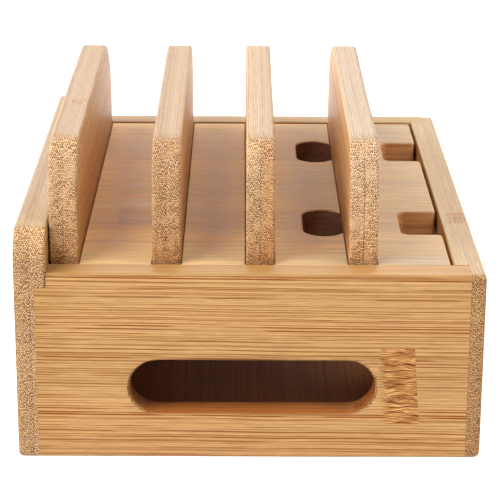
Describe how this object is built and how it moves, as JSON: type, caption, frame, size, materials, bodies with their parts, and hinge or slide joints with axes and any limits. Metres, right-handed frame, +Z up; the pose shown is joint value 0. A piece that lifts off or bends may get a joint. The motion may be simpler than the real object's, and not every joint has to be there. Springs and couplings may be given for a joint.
{
  "type": "device stand",
  "caption": "Bamboo box with long cable slots and a lift-off lid carrying upright dividers that hold phones and tablets, with cable holes and notches through the lid.",
  "frame": {"origin": "centre of the box's footprint, at the surface that it stands on", "axes": "+Z up, +Y from the near end wall to the far one along the dividers, +X from the tall side wall to the low one"},
  "size_m": [0.16, 0.21, 0.108],
  "materials": {
    "side_bamboo": "satin lacquered bamboo",
    "end_bamboo": "satin lacquered bamboo",
    "inner_bamboo": "unlacquered bamboo",
    "lid_bamboo": "satin lacquered bamboo",
    "divider_bamboo": "satin lacquered bamboo",
    "screw_steel": "zinc plated"
  },
  "bodies": {
    "box": {"tall_side_wall": "side_bamboo", "low_side_wall": "side_bamboo", "near_end_wall": "end_bamboo", "far_end_wall": "end_bamboo", "floor_panel": "inner_bamboo", "near_lid_cleat": "inner_bamboo", "far_lid_cleat": "inner_bamboo"},
    "lid": {"lid_board": "lid_bamboo", "divider_1": "divider_bamboo", "divider_2": "divider_bamboo", "divider_3": "divider_bamboo", "divider_4": "divider_bamboo", "divider_1_screw_1": "screw_steel", "divider_1_screw_2": "screw_steel", "divider_1_screw_3": "screw_steel", "divider_2_screw_1": "screw_steel", "divider_2_screw_2": "screw_steel", "divider_2_screw_3": "screw_steel", "divider_3_screw_1": "screw_steel", "divider_3_screw_2": "screw_steel", "divider_3_screw_3": "screw_steel", "divider_4_screw_1": "screw_steel", "divider_4_screw_2": "screw_steel", "divider_4_screw_3": "screw_steel"}
  },
  "joints": [
    {"name": "lid_lift", "type": "slide", "parent": "box", "child": "lid", "axis": [0, 0, 1], "range_m": [0, 0.04]}
  ]
}
